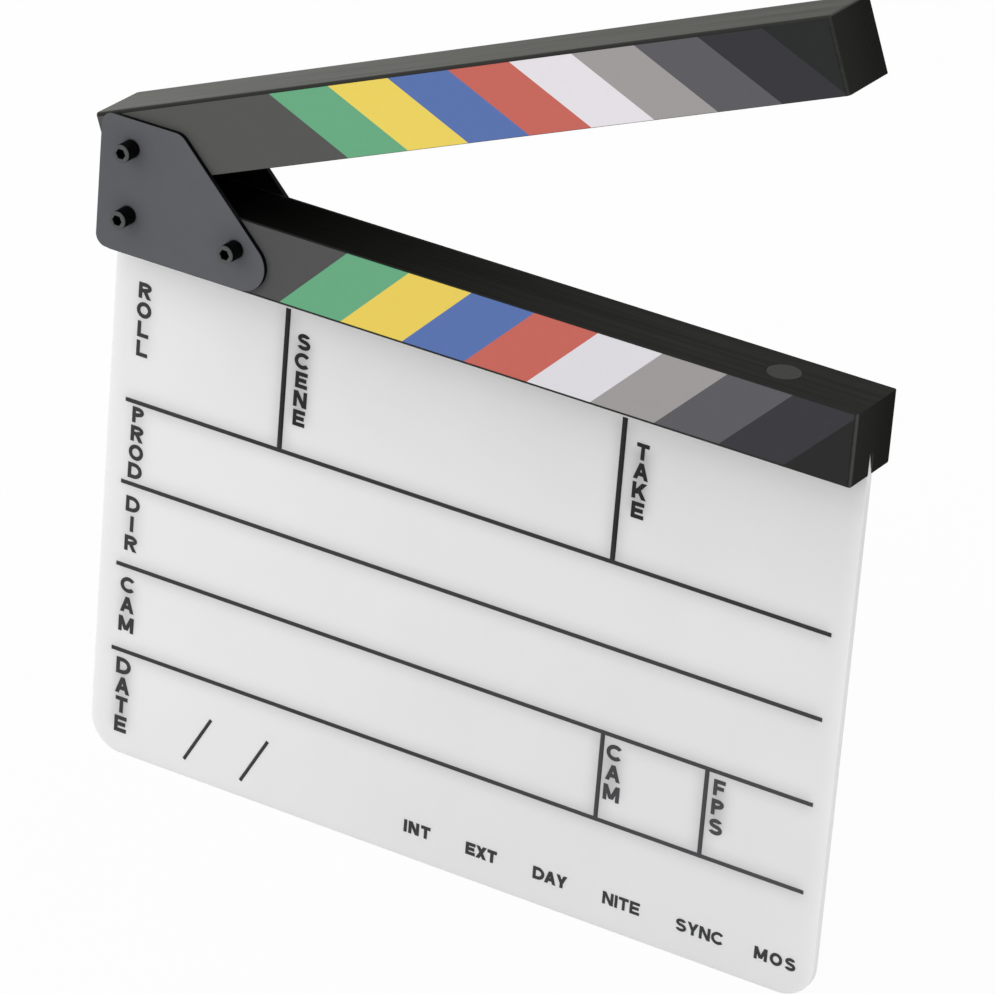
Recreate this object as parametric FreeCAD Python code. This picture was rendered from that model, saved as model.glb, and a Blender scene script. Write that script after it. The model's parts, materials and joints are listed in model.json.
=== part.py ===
"""Clapperboard: a writing board in a slotted stick, with a second stick hinged above it.

Millimetres. X runs along the sticks, Y from front to back, Z up. The origin is the middle of the
board's bottom edge. The upper stick is drawn open, as it is held before a clap.
"""
import FreeCAD, Part
import math
import os

# Board
board_width = 300.0
board_face_height = 200.0
board_thickness = 3.0
board_corner_radius = 13.0
board_edge_round = 0.3
board_lead_in = 1.7
board_lead_height = 10.0

# Sticks, as long as the board is wide
stick_length = board_width
stick_side = 27.0
stick_edge_round = 1.2
slot_depth = 9.0
slot_clearance = 0.1
lower_heel_radius = 6.0
closing_gap = 0.8
rest_opening_deg = 21.8
hinge_clearance = 0.2

# Printed strips on the sticks' front faces
label_thickness = 0.2
label_end_margin = 1.3
label_hinge_margin = 0.2
label_outer_margin = 1.3
label_inner_margin = 0.2

# Hinge plates
plate_thickness = 2.0
plate_bottom_inset = 1.7
plate_top_margin = 10.6
plate_top_reach = 19.8
plate_foot_reach = 25.7
plate_left_corner_radius = 4.5
rear_plate_crown_radius = 8.0
plate_top_corner_radius = 6.0
plate_foot_corner_radius = 9.5
plate_edge_round = 0.25

# Places of the three screws
pivot_inset = 13.0
hinge_screw_rise = 16.4
hinge_screw_pitch = 44.6

# Screws
screw_radius = 2.0
screw_hole_clearance = 0.15
screw_tip_reach = 1.0
screw_tip_chamfer = 0.4
head_radius = 3.3
head_height = 6.9
head_rim_round = 0.45
socket_flats = 3.6
socket_depth = 3.4

# Washers and lock nuts behind the rear plate
washer_radius = 4.5
washer_thickness = 0.8
nut_flats = 7.0
nut_hex_height = 3.2
nut_chamfer = 0.5
nut_collar_radius = 3.1
nut_collar_height = 1.8
nut_collar_round = 0.8
nut_thread_clearance = 0.03

# Pivot bush and friction washers in the upper stick
bush_radius = 3.2
bush_seat_clearance = 0.02
bush_running_clearance = 0.05
friction_washer_radius = 5.5
friction_washer_thickness = 1.0
friction_washer_seat_clearance = 0.1
friction_running_gap = 0.05

# Magnets in the clap faces
magnet_radius = 6.0
magnet_thickness = 3.0
magnet_stand_out = 0.25
magnet_inset = 35.5
magnet_seat_clearance = 0.05
magnet_edge_round = 0.3

# How far a cutting shape runs past the face that it cuts
overrun = 2.0

# How near a corner counts as lying at a place, as a share of the shape's reach
touch_share = 1e-9

# Derived places along X
stick_left = -stick_length / 2
stick_right = stick_length / 2
pivot_x = stick_left + pivot_inset
right_screw_x = pivot_x + hinge_screw_pitch
magnet_x = stick_right - magnet_inset
label_left = stick_left + label_hinge_margin
label_right = stick_right - label_end_margin

# Derived places along Z
stick_bottom = board_face_height
clap_level = stick_bottom + stick_side
upper_bottom = clap_level + closing_gap
upper_top = upper_bottom + stick_side
pivot_z = upper_bottom + stick_side / 2
hinge_screw_z = stick_bottom + hinge_screw_rise

# Derived places along Y, from the front to the back
stick_front = -stick_side / 2
stick_back = stick_side / 2
front_plate_inner = stick_front - label_thickness
front_plate_outer = front_plate_inner - plate_thickness
rear_plate_inner = stick_back
rear_plate_outer = rear_plate_inner + plate_thickness
washer_outer = rear_plate_outer + washer_thickness
nut_hex_outer = washer_outer + nut_hex_height
nut_outer = nut_hex_outer + nut_collar_height
screw_tip = nut_outer + screw_tip_reach
upper_label_front = front_plate_inner + hinge_clearance
upper_front = upper_label_front + label_thickness
upper_back = rear_plate_inner - hinge_clearance
front_friction_outer = front_plate_inner + friction_running_gap
front_friction_inner = front_friction_outer + friction_washer_thickness
rear_friction_outer = rear_plate_inner - friction_running_gap
rear_friction_inner = rear_friction_outer - friction_washer_thickness

# Derived radii
screw_hole_radius = screw_radius + screw_hole_clearance
bush_seat_radius = bush_radius + bush_seat_clearance
friction_seat_radius = friction_washer_radius + friction_washer_seat_clearance
magnet_seat_radius = magnet_radius + magnet_seat_clearance
upper_heel_radius = stick_side / 2

# Where each screw goes through, as (x, z)
screw_places = {"pivot": (pivot_x, pivot_z),
                "left": (pivot_x, hinge_screw_z),
                "right": (right_screw_x, hinge_screw_z)}

ALONG_X = FreeCAD.Vector(1, 0, 0)
ALONG_Y = FreeCAD.Vector(0, 1, 0)
ALONG_Z = FreeCAD.Vector(0, 0, 1)
OPENING_AXIS = FreeCAD.Vector(0, -1, 0)
HEX_SIDES = 6


def block(x_span, y_span, z_span):
    """A box between two places along each axis."""
    corner = FreeCAD.Vector(x_span[0], y_span[0], z_span[0])
    sizes = [span[1] - span[0] for span in (x_span, y_span, z_span)]
    return Part.makeBox(*sizes, corner)


def rod(radius, x, z, y_span):
    """A round bar along Y."""
    start = FreeCAD.Vector(x, y_span[0], z)
    return Part.makeCylinder(radius, y_span[1] - y_span[0], start, ALONG_Y)


def ring(radius, hole_radius, x, z, y_span):
    """A flat ring or a sleeve along Y."""
    hole_span = (y_span[0] - overrun, y_span[1] + overrun)
    return rod(radius, x, z, y_span).cut(rod(hole_radius, x, z, hole_span))


def upright_disc(radius, x, z_span):
    """A round disc along Z, on the middle of the stick."""
    return Part.makeCylinder(radius, z_span[1] - z_span[0], FreeCAD.Vector(x, 0, z_span[0]), ALONG_Z)


def hex_bar(flats, x, z, y_span):
    """A six-sided bar along Y, of a given size across its flats."""
    corner_radius = flats / (2 * math.cos(math.pi / HEX_SIDES))
    points = []
    for step in range(HEX_SIDES + 1):
        angle = 2 * math.pi * step / HEX_SIDES
        points.append(FreeCAD.Vector(x + corner_radius * math.cos(angle), y_span[0],
                                     z + corner_radius * math.sin(angle)))
    return Part.Face(Part.makePolygon(points)).extrude(ALONG_Y * (y_span[1] - y_span[0]))


def rounded_slab(corners, y_span):
    """A slab in the XZ plane whose outline has rounded corners, each given as (x, z, radius)."""
    edges = []
    arc_ends = []
    for index, (x, z, radius) in enumerate(corners):
        corner = FreeCAD.Vector(x, y_span[0], z)
        before = FreeCAD.Vector(corners[index - 1][0], y_span[0], corners[index - 1][1])
        after_index = (index + 1) % len(corners)
        after = FreeCAD.Vector(corners[after_index][0], y_span[0], corners[after_index][1])
        to_before = (before - corner).normalize()
        to_after = (after - corner).normalize()
        half_angle = to_before.getAngle(to_after) / 2
        tangent = radius / math.tan(half_angle)
        middle = (to_before + to_after).normalize()
        nearest = corner + middle * (radius / math.sin(half_angle) - radius)
        arc_ends.append((corner + to_before * tangent, nearest, corner + to_after * tangent))
    for index, (start, nearest, end) in enumerate(arc_ends):
        if (end - start).Length > 0:
            edges.append(Part.Arc(start, nearest, end).toShape())
        edges.append(Part.LineSegment(end, arc_ends[(index + 1) % len(arc_ends)][0]).toShape())
    return Part.Face(Part.Wire(edges)).extrude(ALONG_Y * (y_span[1] - y_span[0]))


def edges_on(shape, axis, place):
    """The edges of a shape that lie wholly at one place along an axis."""
    near = shape.BoundBox.DiagonalLength * touch_share
    return [edge for edge in shape.Edges
            if all(abs(vertex.Point.dot(axis) - place) < near for vertex in edge.Vertexes)]


def eased_stick(y_span, z_span, clap_z):
    """A square stick with every edge eased but those round its clap face and its hinge end."""
    stick = block((stick_left, stick_right), y_span, z_span)
    sharp = edges_on(stick, ALONG_Z, clap_z) + edges_on(stick, ALONG_X, stick_left)
    eased = [edge for edge in stick.Edges if not any(edge.isSame(other) for other in sharp)]
    return stick.makeFillet(stick_edge_round, eased)


def opened(shape):
    """A piece of the upper stick, turned from closed to the rest opening."""
    return shape.rotated(FreeCAD.Vector(pivot_x, 0, pivot_z), OPENING_AXIS, rest_opening_deg)


def corner_waste(radius, x, z, y_span):
    """What is cut from a stick's lower left corner to round it about a centre."""
    corner = block((stick_left - overrun, x), y_span, (z - radius - overrun, z))
    return corner.cut(rod(radius, x, z, y_span))


def upper_heel_waste(y_span):
    """What is cut from the upper stick so that its heel turns past the lower stick."""
    return corner_waste(upper_heel_radius, pivot_x, pivot_z, y_span)


def lower_heel_waste(y_span):
    """What is cut from the lower stick so that its heel lies within the hinge plates."""
    x = stick_left + lower_heel_radius
    z = stick_bottom + lower_heel_radius
    return corner_waste(lower_heel_radius, x, z, y_span)


def acrylic_board():
    """The writing board, with round lower corners and tapered upper ones that lead it into its slot."""
    left = -board_width / 2
    right = board_width / 2
    top = stick_bottom + slot_depth
    shoulder = top - board_lead_height
    corners = [(left, 0, board_corner_radius), (right, 0, board_corner_radius), (right, shoulder, 0),
               (right - board_lead_in, top, 0), (left + board_lead_in, top, 0), (left, shoulder, 0)]
    span = (-board_thickness / 2, board_thickness / 2)
    board = rounded_slab(corners, span)
    rims = edges_on(board, ALONG_Y, span[0]) + edges_on(board, ALONG_Y, span[1])
    return board.makeFillet(board_edge_round, rims)


def lower_stick():
    """The fixed stick, slotted for the board, drilled for the hinge screws and pocketed for its magnet."""
    stick = eased_stick((stick_front, stick_back), (stick_bottom, clap_level), clap_level)
    half_slot = board_thickness / 2 + slot_clearance
    slot = block((stick_left - overrun, stick_right + overrun), (-half_slot, half_slot),
                 (stick_bottom - overrun, stick_bottom + slot_depth))
    pocket_floor = clap_level + magnet_stand_out - magnet_thickness
    pocket = upright_disc(magnet_seat_radius, magnet_x, (pocket_floor, clap_level + overrun))
    through = (stick_front - overrun, stick_back + overrun)
    holes = [rod(screw_hole_radius, x, hinge_screw_z, through) for x in (pivot_x, right_screw_x)]
    return stick.cut([slot, pocket, lower_heel_waste(through)] + holes)


def upper_stick():
    """The clap stick, with its heel, the seat of its bush, two washer seats and its magnet's pocket."""
    stick = eased_stick((upper_front, upper_back), (upper_bottom, upper_top), upper_bottom)
    through = (upper_front - overrun, upper_back + overrun)
    bore = rod(bush_seat_radius, pivot_x, pivot_z, through)
    front_seat = rod(friction_seat_radius, pivot_x, pivot_z, (through[0], front_friction_inner))
    rear_seat = rod(friction_seat_radius, pivot_x, pivot_z, (rear_friction_inner, through[1]))
    pocket_floor = upper_bottom - magnet_stand_out + magnet_thickness
    pocket = upright_disc(magnet_seat_radius, magnet_x, (upper_bottom - overrun, pocket_floor))
    return opened(stick.cut([upper_heel_waste(through), bore, front_seat, rear_seat, pocket]))


def lower_stripe_label():
    """The printed strip on the lower stick, clamped under the front plate at its left end."""
    strip = block((label_left, label_right), (front_plate_inner, stick_front),
                  (stick_bottom + label_outer_margin, clap_level - label_inner_margin))
    through = (front_plate_inner - overrun, stick_front + overrun)
    holes = [rod(screw_hole_radius, x, hinge_screw_z, through) for x in (pivot_x, right_screw_x)]
    return strip.cut([lower_heel_waste(through)] + holes)


def upper_stripe_label():
    """The printed strip on the upper stick, cut round the heel and the friction washer."""
    strip = block((label_left, label_right), (upper_label_front, upper_front),
                  (upper_bottom + label_inner_margin, upper_top - label_outer_margin))
    through = (upper_label_front - overrun, upper_front + overrun)
    washer_seat = rod(friction_seat_radius, pivot_x, pivot_z, through)
    return opened(strip.cut([upper_heel_waste(through), washer_seat]))


def hinge_plate(y_span, outer_y, crown_radius):
    """A hinge plate: upright at the sticks' end, with a slanted edge from its top down to its foot."""
    top = pivot_z + plate_top_margin
    bottom = stick_bottom + plate_bottom_inset
    corners = [(stick_left, bottom, plate_left_corner_radius),
               (right_screw_x + plate_foot_reach, bottom, plate_foot_corner_radius),
               (pivot_x + plate_top_reach, top, plate_top_corner_radius),
               (stick_left, top, crown_radius)]
    plate = rounded_slab(corners, y_span)
    plate = plate.makeFillet(plate_edge_round, edges_on(plate, ALONG_Y, outer_y))
    through = (y_span[0] - overrun, y_span[1] + overrun)
    return plate.cut([rod(screw_hole_radius, x, z, through) for x, z in screw_places.values()])


def socket_screw(x, z):
    """A cap screw with a tall round head in front, a six-sided socket and a plain shank."""
    head_front = front_plate_outer - head_height
    head = rod(head_radius, x, z, (head_front, front_plate_outer))
    head = head.makeFillet(head_rim_round, edges_on(head, ALONG_Y, head_front))
    shank = rod(screw_radius, x, z, (front_plate_outer, screw_tip))
    shank = shank.makeChamfer(screw_tip_chamfer, edges_on(shank, ALONG_Y, screw_tip))
    socket = hex_bar(socket_flats, x, z, (head_front - overrun, head_front + socket_depth))
    return head.fuse(shank).cut(socket).removeSplitter()


def lock_nut(x, z):
    """A lock nut: a six-sided body with eased corners and a round collar over its insert."""
    body_span = (washer_outer, nut_hex_outer)
    corner_radius = nut_flats / (2 * math.cos(math.pi / HEX_SIDES))
    easing = rod(corner_radius, x, z, body_span)
    easing = easing.makeChamfer(nut_chamfer, edges_on(easing, ALONG_Y, nut_hex_outer))
    body = hex_bar(nut_flats, x, z, body_span).common(easing)
    collar = rod(nut_collar_radius, x, z, (washer_outer, nut_outer))
    collar = collar.makeFillet(nut_collar_round, edges_on(collar, ALONG_Y, nut_outer))
    bore = rod(screw_radius + nut_thread_clearance, x, z, (washer_outer - overrun, nut_outer + overrun))
    return body.fuse(collar).cut(bore).removeSplitter()


def rear_washer(x, z):
    """The flat washer between the rear plate and a nut."""
    return ring(washer_radius, screw_hole_radius, x, z, (rear_plate_outer, washer_outer))


def pivot_bush():
    """The sleeve in the upper stick that turns on the pivot screw."""
    bore = screw_radius + bush_running_clearance
    return opened(ring(bush_radius, bore, pivot_x, pivot_z, (front_friction_inner, rear_friction_inner)))


def friction_washer(y_span):
    """A washer let into the side of the upper stick, which rubs on a hinge plate."""
    return opened(ring(friction_washer_radius, screw_hole_radius, pivot_x, pivot_z, y_span))


def magnet(z_span, clap_z):
    """A round magnet with a small round on the rim that shows."""
    disc = upright_disc(magnet_radius, magnet_x, z_span)
    return disc.makeFillet(magnet_edge_round, edges_on(disc, ALONG_Z, clap_z))


def lower_magnet():
    """The magnet in the lower stick, a little proud of the clap face."""
    face = clap_level + magnet_stand_out
    return magnet((face - magnet_thickness, face), face)


def upper_magnet():
    """The magnet in the upper stick, a little proud of the clap face."""
    face = upper_bottom - magnet_stand_out
    return opened(magnet((face, face + magnet_thickness), face))


pieces = {"acrylic_board": acrylic_board(),
          "lower_stick": lower_stick(),
          "upper_stick": upper_stick(),
          "lower_stripe_label": lower_stripe_label(),
          "upper_stripe_label": upper_stripe_label(),
          "front_hinge_plate": hinge_plate((front_plate_outer, front_plate_inner), front_plate_outer,
                                           plate_left_corner_radius),
          "rear_hinge_plate": hinge_plate((rear_plate_inner, rear_plate_outer), rear_plate_outer,
                                          rear_plate_crown_radius),
          "pivot_bush": pivot_bush(),
          "front_friction_washer": friction_washer((front_friction_outer, front_friction_inner)),
          "rear_friction_washer": friction_washer((rear_friction_inner, rear_friction_outer)),
          "lower_magnet": lower_magnet(),
          "upper_magnet": upper_magnet()}

for place, (screw_x, screw_z) in screw_places.items():
    screw_name = "pivot_screw" if place == "pivot" else place + "_hinge_screw"
    pieces[screw_name] = socket_screw(screw_x, screw_z)
    pieces[place + "_rear_washer"] = rear_washer(screw_x, screw_z)
    pieces[place + "_lock_nut"] = lock_nut(screw_x, screw_z)

os.makedirs("parts", exist_ok=True)
for name, shape in pieces.items():
    shape.exportStep(os.path.join("parts", name + ".step"))
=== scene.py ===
"""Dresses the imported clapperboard: a finish for every piece, the print on its board and the studio round it.

Metres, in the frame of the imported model: X along the sticks, Y from the written face to the back, Z up.
"""

import json
import logging
import math
from dataclasses import dataclass
from enum import Enum
from typing import Any, Mapping, Optional, Sequence, Union

import bpy
from bpy.types import ID, Material, Mesh, Node, NodeSocket, NodeTree, Object
from mathutils import Color, Matrix, Vector
from mathutils.geometry import delaunay_2d_cdt


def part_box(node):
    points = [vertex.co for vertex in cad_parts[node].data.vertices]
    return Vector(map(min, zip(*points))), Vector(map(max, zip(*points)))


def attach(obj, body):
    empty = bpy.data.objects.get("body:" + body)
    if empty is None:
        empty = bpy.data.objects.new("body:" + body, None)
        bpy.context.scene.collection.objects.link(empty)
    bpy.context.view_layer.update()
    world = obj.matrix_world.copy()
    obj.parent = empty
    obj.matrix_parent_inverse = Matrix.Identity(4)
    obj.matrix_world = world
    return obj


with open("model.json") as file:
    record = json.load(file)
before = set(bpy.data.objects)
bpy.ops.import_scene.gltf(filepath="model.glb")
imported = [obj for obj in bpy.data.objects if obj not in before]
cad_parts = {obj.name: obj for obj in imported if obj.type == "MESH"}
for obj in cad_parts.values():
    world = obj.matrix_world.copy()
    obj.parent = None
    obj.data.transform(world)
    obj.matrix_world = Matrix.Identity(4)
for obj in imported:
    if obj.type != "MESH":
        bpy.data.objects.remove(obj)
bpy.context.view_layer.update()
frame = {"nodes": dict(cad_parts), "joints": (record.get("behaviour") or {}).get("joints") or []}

MM = 0.001
LOG = logging.getLogger("clapperboard")

Colour = tuple[float, float, float, float]
Place = tuple[float, float, float]
Point = tuple[float, float]
Span = tuple[float, float]
Stroke = tuple[Point, Point]
Ribbon = tuple[Sequence[Point], ...]
Sockets = Mapping[Union[str, int], Any]
Operand = Union["Value", float]
Link = Union["Value", Node, NodeSocket]

WHITE: Colour = (1.0, 1.0, 1.0, 1.0)
BLACK: Colour = (0.0, 0.0, 0.0, 1.0)
FULL_LEVEL = 255
QUARTER_TURN = math.pi / 2
NOISE_MEAN = 0.5
LOOKING_RAYS = ("Is Camera Ray", "Is Glossy Ray", "Is Transmission Ray")

# Sockets of a Mix node that mixes colours, which share their names with its other kinds
MIX_FACTOR = 0
MIX_FIRST = 6
MIX_SECOND = 7
MIX_RESULT = 2

# What delaunay_2d_cdt is asked for: the triangles inside the outlines
INSIDE = 1


def tint(red: int, green: int, blue: int) -> Colour:
    """Turns a colour as a screen shows it, in levels up to 255, into Blender's linear colour."""
    shown = Color([level / FULL_LEVEL for level in (red, green, blue)])
    return (*shown.from_srgb_to_scene_linear(), 1.0)


class Value:
    """A number that changes over a surface: an output of a shader node, with arithmetic."""

    def __init__(self, sheet: "ShaderSheet", socket: NodeSocket) -> None:
        """Keeps the node tree and the output that this value stands for."""
        self.sheet = sheet
        self.socket = socket

    def __add__(self, other: Operand) -> "Value":
        """Adds."""
        return self.sheet.math("ADD", self, other)

    def __radd__(self, other: Operand) -> "Value":
        """Adds to a number."""
        return self.sheet.math("ADD", other, self)

    def __sub__(self, other: Operand) -> "Value":
        """Subtracts."""
        return self.sheet.math("SUBTRACT", self, other)

    def __rsub__(self, other: Operand) -> "Value":
        """Subtracts from a number."""
        return self.sheet.math("SUBTRACT", other, self)

    def __mul__(self, other: Operand) -> "Value":
        """Multiplies."""
        return self.sheet.math("MULTIPLY", self, other)

    def __rmul__(self, other: Operand) -> "Value":
        """Multiplies a number."""
        return self.sheet.math("MULTIPLY", other, self)

    def __truediv__(self, other: Operand) -> "Value":
        """Divides."""
        return self.sheet.math("DIVIDE", self, other)

    def __rtruediv__(self, other: Operand) -> "Value":
        """Divides a number."""
        return self.sheet.math("DIVIDE", other, self)

    def __pow__(self, other: Operand) -> "Value":
        """Raises to a power."""
        return self.sheet.math("POWER", self, other)

    def __rpow__(self, other: Operand) -> "Value":
        """Raises a number to this power."""
        return self.sheet.math("POWER", other, self)

    def __abs__(self) -> "Value":
        """Drops the sign."""
        return self.sheet.math("ABSOLUTE", self, 0.0)

    def __or__(self, other: Operand) -> "Value":
        """Takes the larger, as one mask joined to another."""
        return self.sheet.math("MAXIMUM", self, other)

    def __ror__(self, other: Operand) -> "Value":
        """Takes the larger of a number and this."""
        return self.sheet.math("MAXIMUM", other, self)

    def diagonal(self, other: "Value") -> "Value":
        """The long side of the right triangle on two lengths."""
        return (self ** 2 + other ** 2) ** 0.5

    def blend(self, other: "Value", share: float) -> "Value":
        """Takes a share of this and the rest of another."""
        return self * share + other * (1 - share)

    def rise(self, low: float, high: float) -> "Value":
        """Goes smoothly from 0 at one level to 1 at another, which may be the lower of the two.

        Args:
            low: The level at which the result is 0, as it is beyond it.
            high: The level at which the result is 1, as it is beyond it.

        Returns:
            The mask.
        """
        node = self.sheet.node("ShaderNodeMapRange", {"interpolation_type": "SMOOTHSTEP"},
                               {"Value": self, "From Min": low, "From Max": high})
        return Value(self.sheet, node.outputs["Result"])


class Detail(Enum):
    """How many layers a noise has, each finer than the one before."""

    PLAIN = 1.0
    SOFT = 2.0
    RICH = 3.0
    FULL = 4.0


class NodeSheet:
    """A node tree that is written with one method for every kind of node."""

    def __init__(self, tree: NodeTree) -> None:
        """Takes over a tree and empties it."""
        self.tree = tree
        self.tree.nodes.clear()

    def node(self, kind: str, settings: Optional[Mapping[str, Any]] = None,
             sockets: Optional[Sockets] = None) -> Node:
        """Adds a node.

        Args:
            kind: Blender's name of the node's type.
            settings: Options of the node itself, set first.
            sockets: For each input, by name or number, what it is fed with, or a list of links.

        Returns:
            The new node.
        """
        node = self.tree.nodes.new(kind)
        for name, setting in (settings or {}).items():
            setattr(node, name, setting)
        for key, given in (sockets or {}).items():
            for source in given if isinstance(given, list) else [given]:
                self._feed(node.inputs[key], source)
        return node

    def _feed(self, target: NodeSocket, source: Any) -> None:
        """Links an input, or sets it.

        Args:
            target: The input.
            source: A value, a node whose first output is meant, a socket, or a plain number or colour.
        """
        if isinstance(source, Value):
            source = source.socket
        elif isinstance(source, Node):
            source = source.outputs[0]
        if isinstance(source, NodeSocket):
            self.tree.links.new(source, target)
        else:
            target.default_value = source


class ShaderSheet(NodeSheet):
    """The node tree of a material or of the world."""

    def math(self, operation: str, first: Operand, second: Operand) -> Value:
        """Adds a Math node on two numbers."""
        node = self.node("ShaderNodeMath", {"operation": operation}, {0: first, 1: second})
        return Value(self, node.outputs["Value"])

    def place(self) -> NodeSocket:
        """Where a point lies in the part's own frame."""
        return self.node("ShaderNodeTexCoord").outputs["Object"]

    def moved(self, place: Link, turn: Matrix, shift: Vector) -> Node:
        """Turns a place and then shifts it."""
        return self.node("ShaderNodeMapping", {"vector_type": "POINT"},
                         {"Vector": place, "Location": shift, "Rotation": turn.to_euler()})

    def axes(self, place: Link) -> tuple[Value, ...]:
        """Splits a place into its three numbers."""
        node = self.node("ShaderNodeSeparateXYZ", None, {"Vector": place})
        return tuple(Value(self, number) for number in node.outputs)

    def turned(self, place: Link, centre: Point, width: float) -> tuple[Value, Value, Value]:
        """Splits a place round an axis along Y, with noise in rings as a lathe leaves it.

        Args:
            place: The place to split.
            centre: Where the axis passes, as (x, z).
            width: How wide a mark of the lathe is, in metres.

        Returns:
            The distance from the axis, Y, and the marks.
        """
        x, y, z = self.axes(place)
        away = (x - centre[0]).diagonal(z - centre[1])
        joined = self.node("ShaderNodeCombineXYZ", None, {"X": away, "Y": y})
        return away, y, self.noise(joined, width, Detail.SOFT)

    def noise(self, place: Link, grain: Union[float, Place], detail: Detail = Detail.RICH) -> Value:
        """Cloudy noise with grains of a given size.

        Args:
            place: Where the noise is read.
            grain: The size of a grain, or its size along each axis, in metres.
            detail: How many layers it has.

        Returns:
            The noise, about NOISE_MEAN on average.
        """
        sizes = grain if isinstance(grain, tuple) else (grain,) * 3
        spread = self.node("ShaderNodeVectorMath", {"operation": "DIVIDE"}, {0: place, 1: sizes})
        node = self.node("ShaderNodeTexNoise", {"noise_dimensions": "3D"},
                         {"Vector": spread, "Scale": 1.0, "Detail": detail.value})
        return Value(self, node.outputs[0])

    def mixed(self, mask: Operand, first: Any, second: Any) -> NodeSocket:
        """Goes from one colour to another as a mask goes from 0 to 1."""
        node = self.node("ShaderNodeMix", {"data_type": "RGBA", "clamp_factor": True},
                         {MIX_FACTOR: mask, MIX_FIRST: first, MIX_SECOND: second})
        return node.outputs[MIX_RESULT]

    def bumped(self, height: Value, depth: float) -> Node:
        """Turns a height into a surface normal, where a height of 1 stands for a depth in metres."""
        return self.node("ShaderNodeBump", None, {"Height": height, "Distance": depth, "Strength": 1.0})

    def seen(self) -> Value:
        """Tells a surface that is looked at from one that only gives light.

        Returns:
            1 where the camera, a reflection or something see-through looks at the surface.
        """
        rays = self.node("ShaderNodeLightPath").outputs
        camera, glossy, through = (Value(self, rays[name]) for name in LOOKING_RAYS)
        return camera | glossy | through

    def surface(self, sockets: Sockets) -> None:
        """Ends a material in a Principled shader with these sockets."""
        shader = self.node("ShaderNodeBsdfPrincipled", None, sockets)
        self.node("ShaderNodeOutputMaterial", None, {"Surface": shader})


def add_object(name: str, data: ID) -> Object:
    """Puts a mesh, a light or a camera into the scene.

    Args:
        name: The object's name.
        data: What it shows.

    Returns:
        The new object.
    """
    added = bpy.data.objects.new(name, data)
    bpy.context.scene.collection.objects.link(added)
    return added


def simple_mesh(name: str, points: Sequence[Place], edges: Sequence[Any] = (),
                faces: Sequence[Any] = ()) -> Mesh:
    """Makes a mesh.

    Args:
        name: The mesh's name.
        points: Where its points lie.
        edges: The points of each loose edge.
        faces: The points of each face.

    Returns:
        The mesh.
    """
    mesh = bpy.data.meshes.new(name)
    mesh.from_pydata(points, edges, faces)
    return mesh


class GeometrySheet(NodeSheet):
    """A Geometry Nodes tree with named inputs, which makes a mesh from a simple one."""

    def __init__(self, name: str, *numbers: str) -> None:
        """Makes the tree with its inputs: a geometry, the numbers and a material.

        Args:
            name: The tree's name.
            numbers: The names of the inputs that are numbers.
        """
        super().__init__(bpy.data.node_groups.new(name, "GeometryNodeTree"))
        self.tree.is_modifier = True
        interface = self.tree.interface
        kinds = {"Geometry": "NodeSocketGeometry", **dict.fromkeys(numbers, "NodeSocketFloat"),
                 "Material": "NodeSocketMaterial"}
        self.keys = {title: interface.new_socket(title, in_out="INPUT", socket_type=kind).identifier
                     for title, kind in kinds.items()}
        interface.new_socket("Geometry", in_out="OUTPUT", socket_type="NodeSocketGeometry")
        self.given = self.node("NodeGroupInput").outputs

    def circle(self, steps: int, radius: Link) -> Node:
        """Draws a circle as a curve."""
        return self.node("GeometryNodeCurvePrimitiveCircle", {"mode": "RADIUS"},
                         {"Resolution": steps, "Radius": radius})

    def rectangle(self) -> Node:
        """Draws a rectangle of the given width and height as a curve."""
        return self.node("GeometryNodeCurvePrimitiveQuadrilateral", {"mode": "RECTANGLE"},
                         {"Width": self.given["Width"], "Height": self.given["Height"]})

    def swept(self, path: Link, section: Link, capped: bool) -> Node:
        """Draws a section along a path, with or without end faces."""
        return self.node("GeometryNodeCurveToMesh", None,
                         {"Curve": path, "Profile Curve": section, "Fill Caps": capped})

    def moved(self, shape: Link, shift: Mapping[str, Link], turn: float = 0.0) -> Node:
        """Turns a shape about X and then shifts it by a length along each named axis."""
        along = self.node("ShaderNodeCombineXYZ", None, shift)
        return self.node("GeometryNodeTransform", None,
                         {"Geometry": shape, "Translation": along, "Rotation": (turn, 0.0, 0.0)})

    def finished(self, shape: Link) -> "GeometrySheet":
        """Ends the tree: instances are made real and the material is set.

        Args:
            shape: The geometry that the tree has made.

        Returns:
            The tree itself.
        """
        real = self.node("GeometryNodeRealizeInstances", None, {"Geometry": shape})
        painted = self.node("GeometryNodeSetMaterial", None,
                            {"Geometry": real, "Material": self.given["Material"]})
        self.node("NodeGroupOutput", None, {"Geometry": painted})
        return self

    def make(self, name: str, rough: Mesh, values: Mapping[str, Any]) -> Object:
        """Runs the tree on a mesh and keeps the result as a plain mesh, fixed to the slate.

        Args:
            name: The new piece's name.
            rough: The mesh that goes in.
            values: What each named input is set to.

        Returns:
            The finished piece.
        """
        piece = add_object(name, rough)
        modifier = piece.modifiers.new(name, "NODES")
        modifier.node_group = self.tree
        for title, given in values.items():
            modifier[self.keys[title]] = given
        shown = piece.evaluated_get(bpy.context.evaluated_depsgraph_get())
        baked = bpy.data.meshes.new_from_object(shown)
        piece.modifiers.clear()
        piece.data = baked
        baked.name = name
        bpy.data.meshes.remove(rough)
        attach(piece, "slate")
        LOG.info("%s has %d faces", name, len(baked.polygons))
        return piece


@dataclass(frozen=True)
class Finish:
    """How a surface looks. Each kind of finish writes its own node tree."""

    name: str

    def material(self) -> Material:
        """Makes the material.

        Returns:
            The new material, with the finish written into it.
        """
        made = bpy.data.materials.new(self.name)
        made.use_nodes = True
        self.write(ShaderSheet(made.node_tree))
        return made

    def write(self, sheet: ShaderSheet) -> None:
        """Writes the finish into a node tree."""
        raise NotImplementedError


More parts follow.
